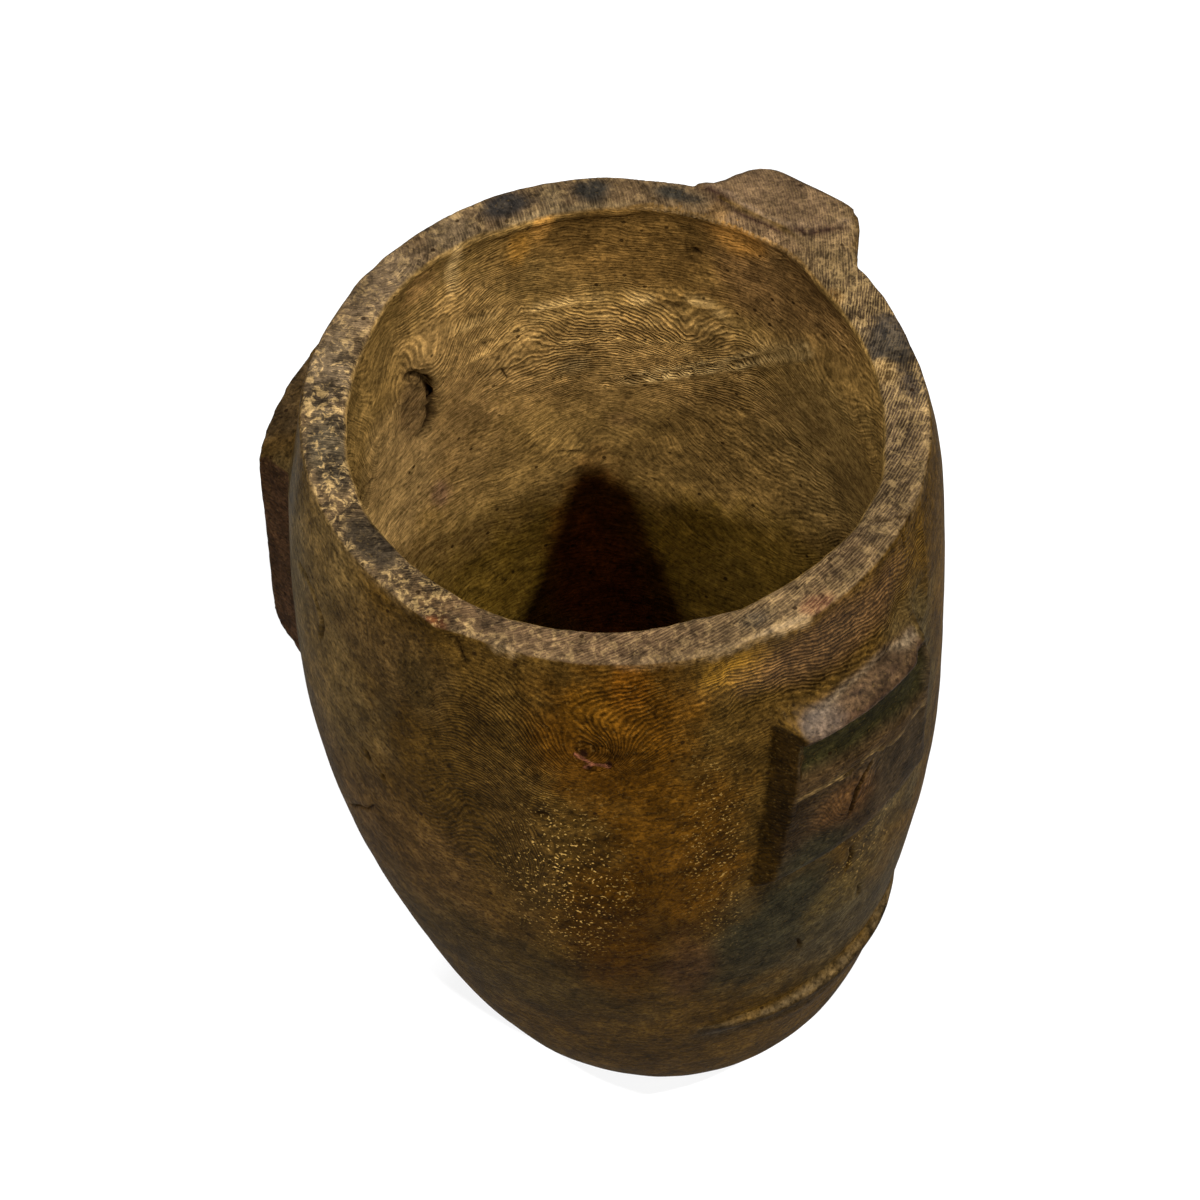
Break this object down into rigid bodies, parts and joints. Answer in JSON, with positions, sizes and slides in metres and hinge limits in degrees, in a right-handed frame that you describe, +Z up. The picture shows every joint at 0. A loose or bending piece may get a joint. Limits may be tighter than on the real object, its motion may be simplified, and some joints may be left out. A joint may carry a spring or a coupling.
{
  "type": "carved wooden milk pail",
  "caption": "Deep egg-shaped milk pail carved from one log, with a rim lug at the back, raised knee panels at the sides and low ledges near the base.",
  "frame": {"origin": "centre of the flat base, on the surface that the pail stands on", "axes": "+Z up through the mouth, +Y towards the rim lug, +X and -X towards the knee panels"},
  "size_m": [0.2366, 0.2284, 0.3235],
  "materials": {
    "pail_wood": "dark hand-worn patina over carved hardwood",
    "knot_wood": "raw dark end grain"
  },
  "bodies": {
    "root": {"pail_body": "pail_wood", "side_knot": "knot_wood", "front_knot": "knot_wood"}
  },
  "joints": []
}
